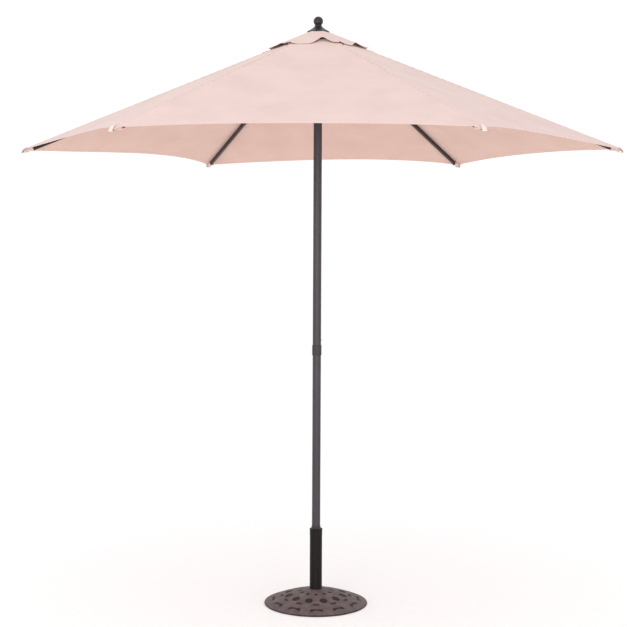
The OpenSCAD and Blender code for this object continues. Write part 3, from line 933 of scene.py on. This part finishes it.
def recess_depth(x, y):
    """0 on the dome's face, 1 in the bottom of a moulded hollow."""
    r = math.hypot(x, y)
    a = math.atan2(y, x) - PATTERN_TURN
    step = PATTERN_STEP

    def cell(offset):
        """Radial and sideways distance to the nearest of twelve centres."""
        near = round((a - offset) / step) * step + offset
        return r * math.cos(a - near), r * math.sin(a - near)

    def soft(distance, edge=1.6 * MM):
        """1 inside an outline, falling to 0 over a short slope."""
        t = min(1.0, max(0.0, 0.5 - distance / (2 * edge)))
        return t * t * (3 - 2 * t)

    depth = 0.0
    u, v = cell(0.0)
    rhomb = abs(u - RHOMB_AT) / (11 * MM) + abs(v) / (10.5 * MM) - 1
    depth = max(depth, soft(rhomb * 6 * MM))
    dash = max(abs(v) - 14 * MM, abs(u - DASH_AT + 0.10 * abs(v)) - 5.6 * MM)
    depth = max(depth, soft(dash))
    bow = u - (CRESCENT_AT + 1.8 * v * v / BASE_R)
    swell = 4.4 * MM + 3.6 * MM * min(1.0, abs(v) / (18 * MM)) ** 2
    slot = max(abs(v) - 28 * MM, abs(bow) - swell)
    depth = max(depth, soft(slot))
    u, v = cell(step / 2)
    oval = math.hypot((u - OVAL_AT) / (18 * MM), v / (17 * MM)) - 1
    island = math.hypot((u - ISLAND_AT) / (7 * MM), v / (6.5 * MM)) - 1
    depth = max(depth, soft(oval * 17 * MM) * (1 - 0.12 * soft(island * 7 * MM, 2.4 * MM)))
    return depth


def base_weight():
    """Cast dome with its twelve-fold moulded pattern as real relief."""
    segments, rings = 720, 150
    verts, recess_paint_and_rim_shade = [], []
    for i in range(rings + 1):
        t = i / rings
        r = TUBE_R + 0.4 * MM + (BASE_R - 1.2 * MM - TUBE_R) * t
        for j in range(segments):
            a = 2 * math.pi * j / segments
            x, y = r * math.cos(a), r * math.sin(a)
            d = recess_depth(x, y) if 0.22 * BASE_R < r < 0.93 * BASE_R else 0.0
            border = 0.5 * MM * math.exp(-((r - 0.94 * BASE_R) / (2.5 * MM)) ** 2)
            verts.append((x, y, dome_height(r) - 3.6 * MM * d - border))
            # Over the last 7 mm towards the edge the dome turns darker: painted shade. The recesses
            # keep their real dark paint.
            recess_paint_and_rim_shade.append(max(d, 0.75 * min(1.0, max(0.0, (r - BASE_R + 7 * MM) / (6 * MM)))))
    edge = [(BASE_R - 0.5 * MM, EDGE_HIGH - 0.3 * MM), (BASE_R, EDGE_HIGH - 1.2 * MM),
            (BASE_R, EDGE_LOW + 0.8 * MM), (BASE_R - 0.8 * MM, EDGE_LOW),
            (BASE_R - 10 * MM, EDGE_LOW), (BASE_R - 14 * MM, EDGE_LOW + 1.5 * MM),
            (0.075, EDGE_LOW + 1.5 * MM), (0.072, EDGE_LOW + 1.5 * MM), (0.072, 10.6 * MM),
            (TUBE_R + 0.1 * MM, 10.6 * MM), (TUBE_R + 0.1 * MM, DOME_TOP)]
    # The rim's side, the underside and the socket wall all take the full dark colour: painted shade.
    for r, z in edge:
        for j in range(segments):
            a = 2 * math.pi * j / segments
            verts.append((r * math.cos(a), r * math.sin(a), z))
            recess_paint_and_rim_shade.append(1.0)
    faces = grid_faces(rings + 1 + len(edge), segments, closed=True)
    last = (rings + len(edge)) * segments
    for j in range(segments):
        k = (j + 1) % segments
        faces.append((last + j, last + k, k, j))
    piece = make_piece("base_dome", verts, faces, "stone")
    attribute = piece.data.attributes.new("recess_paint_and_rim_shade", "FLOAT", "POINT")
    attribute.data.foreach_set("value", np.array(recess_paint_and_rim_shade, np.float32))
    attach(piece, "base")
    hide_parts("base_weight")


def tube_relief(a, z, r):
    """Fluting down the tube, leaves under its mouth and a carved band at its foot."""
    flute = 0.22 * MM * math.cos(24 * a)
    leaf_share = min(1.0, max(0.0, (z - (TUBE_TOP - LEAF_HIGH)) / 0.010))
    leaf_angle = (a * 8 / (2 * math.pi)) % 1 - 0.5
    reach = (TUBE_TOP - z) / LEAF_HIGH
    width = 0.46 * math.sin(math.pi * min(1.0, max(0.02, 1 - reach * 0.93)) ** 0.7) ** 0.6
    leaf = max(0.0, 1 - (abs(leaf_angle) / max(width, 0.02)) ** 4)
    vein = math.exp(-(leaf_angle / 0.05) ** 2)
    out = leaf_share * (1.1 * MM * leaf - 0.5 * MM * vein)
    flare = 2.5 * MM * min(1.0, max(0.0, 1 - (TUBE_TOP - z) / 0.010)) ** 2
    foot = max(0.0, 1 - abs(z - 0.0805) / 0.014)
    carved = 0.5 * MM * min(1.0, foot * 3) * (0.6 + 0.4 * math.cos(18 * a + 400 * (z - 0.08)))
    body = (1 - leaf_share) * flute * (1 - min(1.0, foot * 3))
    return r + body + out + flare + carved


def base_tube():
    top, foot, steps = TUBE_TOP, DOME_TOP - 1.5 * MM, 130
    rise = top - 1.0 * MM - foot
    profile = [(TUBE_R - 0.3 * MM, foot + rise * i / steps) for i in range(steps + 1)]
    lip_end = steps + 2
    profile += [(TUBE_R - 0.9 * MM, top + 0.4 * MM), (TUBE_R - 1.8 * MM, top),
                (25.55 * MM, top - 1.5 * MM), (25.55 * MM, top - 30 * MM)]
    segments = 288
    verts = []
    for i, (r, z) in enumerate(profile):
        for j in range(segments):
            a = 2 * math.pi * j / segments
            if i <= steps:
                rr = tube_relief(a, z, r)
                near = max(0.0, 1 - (top - z) / 0.008)
                scallop = -1.6 * MM * near * abs(math.sin(4 * a)) ** 6
            else:
                rr = r
                scallop = -1.6 * MM * abs(math.sin(4 * a)) ** 6 if i <= lip_end else 0.0
            verts.append((rr * math.cos(a), rr * math.sin(a), z + scallop))
    piece = make_piece("base_tube_cast", verts,
                       grid_faces(len(profile), segments, closed=True), "tube")
    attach(piece, "base")
    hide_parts("tube_rim", "tube_collar")


def knob():
    """Six-lobed hand knob of the clamp screw, with a soft edge and a hub."""
    centre = JOINTS["clamp_turn"]["pos_m"]
    low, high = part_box("clamp_knob")
    y0, y1 = low[1], high[1]
    depth = y1 - y0
    outline = [(0.0041, 0.0), (0.0072, 0.0), (0.0080, 0.06), (0.0082, 0.25), (0.012, 0.30),
               (0.0185, 0.33), (0.0203, 0.40), (0.0207, 0.60), (0.0203, 0.85),
               (0.0185, 0.95), (0.0150, 1.0), (0.0130, 0.97), (0.0, 0.96)]
    profile = smooth_steps(outline, 4)
    segments = 144
    verts = []
    for r, share in profile:
        for j in range(segments):
            a = 2 * math.pi * j / segments
            lobe = max(0.0, (r - 0.010) / 0.0107) * 2.9 * MM * (0.5 - 0.5 * math.cos(6 * a)) ** 2
            rr = max(0.0, r - lobe)
            verts.append((centre[0] + rr * math.cos(a), y0 + min(1.0, share) * depth,
                          centre[2] + rr * math.sin(a)))
    piece = make_piece("clamp_knob_moulded", verts,
                       grid_faces(len(profile), segments, closed=True, flip=True), "black")
    mend_normals(piece, weld=True)
    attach(piece, "clamp_knob")
    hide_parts("clamp_knob")


# ---------------------------------------------------------------- finial
def finial():
    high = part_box("finial")[1]
    foot_r = high[0]
    foot_z = 2.5784
    top = high[2]
    ball_r = 0.0215
    ball_z = top - ball_r
    neck = (0.0153, 2.6065)
    outline = [(foot_r - 0.004, foot_z), (foot_r - 0.0006, foot_z + 0.0002),
               (foot_r, foot_z + 0.0012), (foot_r - 0.0008, foot_z + 0.0026)]
    flare = []
    for i in range(1, 16):
        t = i / 16
        flare.append((neck[0] + (foot_r - 0.0008 - neck[0]) * (1 - t) ** 1.3,
                      foot_z + 0.0026 + (neck[1] - foot_z - 0.0026) * t))
    bead = [(neck[0] + 0.0004, neck[1] + 0.0002), (neck[0] + 0.0010, neck[1] + 0.0014),
            (neck[0] + 0.0002, neck[1] + 0.0024)]
    start = math.asin((neck[1] + 0.0030 - ball_z) / ball_r)
    ball = [(ball_r * math.cos(start + (math.pi / 2 - start) * i / 30),
             ball_z + ball_r * math.sin(start + (math.pi / 2 - start) * i / 30))
            for i in range(31)]
    inside = [(0.012, foot_z + 0.0141), (0.0154, foot_z + 0.0136), (foot_r - 0.005, foot_z + 0.0015)]
    profile = inside + outline + flare + bead + ball
    piece = lathe("finial_turned", profile, 128, "finial")
    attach(piece, "pole")
    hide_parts("finial")


# ---------------------------------------------------------------- CAD nodes that stay
NODE_MATERIAL = {
    "base_tube": "tube", "base_screws": "zinc", "base_feet": "rubber",
    "clamp_screw": "zinc", "pole_sleeve": "black", "lower_pole": "pole",
    "pole_end_plug": "black", "joint_collar": "black", "joint_spigot": "zinc",
    "button_spring": "zinc", "joint_button": "zinc", "upper_pole": "pole",
    "crown_hub": "black", "crown_pins": "zinc", "top_plug": "black", "catch_spring": "zinc",
    "runner": "black", "runner_pins": "zinc",
}
BEVELLED = {"crown_hub": 1.2, "runner": 1.2, "pole_sleeve": 0.3, "joint_collar": 0.5,
            "joint_button": 0.5, "base_feet": 0.8}


def dress_nodes():
    for name, node in frame["nodes"].items():
        stem = name.rstrip("0123456789").rstrip("_")
        key = NODE_MATERIAL.get(name)
        if key is None and stem in ("rib", "strut", "strut_bracket"):
            key = "rib"
        if key is None and stem == "rib_tip":
            key = "black"
        if key is None:
            continue
        node.data.materials.clear()
        node.data.materials.append(MAT[key])
        width = BEVELLED.get(name, 0.4 if stem in ("rib_tip", "strut_bracket") else 0)
        if width:
            bevel = node.modifiers.new("soft_edges", "BEVEL")
            bevel.width = width * MM
            bevel.segments = 2
            bevel.limit_method = "ANGLE"
            bevel.angle_limit = math.radians(40)


# ---------------------------------------------------------------- studio
def studio():
    """Wide pale floor under bright even air, and two soft lights in front."""
    m = Nodes("studio_paper", roughness=0.9, specular=0.1)
    fibre = m.noise(m.coordinates(), 40, 3)
    m.colour(m.mix(fibre, (0.955, 0.96, 0.965, 1), (0.97, 0.975, 0.98, 1), 0.4, 0.6))
    MAT["paper"] = m.material
    reach, sides = 40.0, 96
    verts = [(0.0, 0.0, 0.0)]
    for i in range(sides):
        a = 2 * math.pi * i / sides
        verts.append((reach * math.cos(a), reach * math.sin(a), 0.0))
    faces = [(0, i + 1, (i + 1) % sides + 1) for i in range(sides)]
    mesh = bpy.data.meshes.new("studio_floor")
    mesh.from_pydata(verts, [], faces)
    mesh.materials.append(m.material)
    floor = bpy.data.objects.new("studio_floor", mesh)
    bpy.context.collection.objects.link(floor)

    world = bpy.data.worlds.new("studio_air")
    world.use_nodes = True
    world.node_tree.nodes["Background"].inputs["Color"].default_value = (1, 1, 1, 1)
    world.node_tree.nodes["Background"].inputs["Strength"].default_value = 1.06
    bpy.context.scene.world = world

    def soft_light(name, place, target, size, power):
        data = bpy.data.lights.new(name, "AREA")
        data.shape = "DISK"
        data.size = size
        data.energy = power
        lamp = bpy.data.objects.new(name, data)
        lamp.location = place
        aim = Vector(target) - Vector(place)
        lamp.rotation_euler = aim.to_track_quat("-Z", "Y").to_euler()
        bpy.context.collection.objects.link(lamp)

    soft_light("key_light", (-2.0, -6.8, 2.4), (0, 0, 1.7), 3.0, 110)
    soft_light("fill_light", (2.8, -6.4, 1.0), (0, 0, 1.8), 3.0, 70)
    bpy.context.scene.view_settings.view_transform = "Standard"


# ---------------------------------------------------------------- build
make_camera()
studio()
dress_nodes()
for gore in GORES:
    for side in SIDES:
        main = half_gore(gore, side)
        hem = hem_band(gore, side)
for cap in CAPS:
    for side in SIDES:
        cloth_piece, band = cap_half(cap, side)
        if cap.number == 1 and side == "a":
            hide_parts("vent_cap")
cap_middle()
for k in range(1, SECTORS + 1):
    rib_seam(k)
    under_seam(k)
    corner_pocket(k)
    cap_corner(k)
base_weight()
base_tube()
knob()
finial()
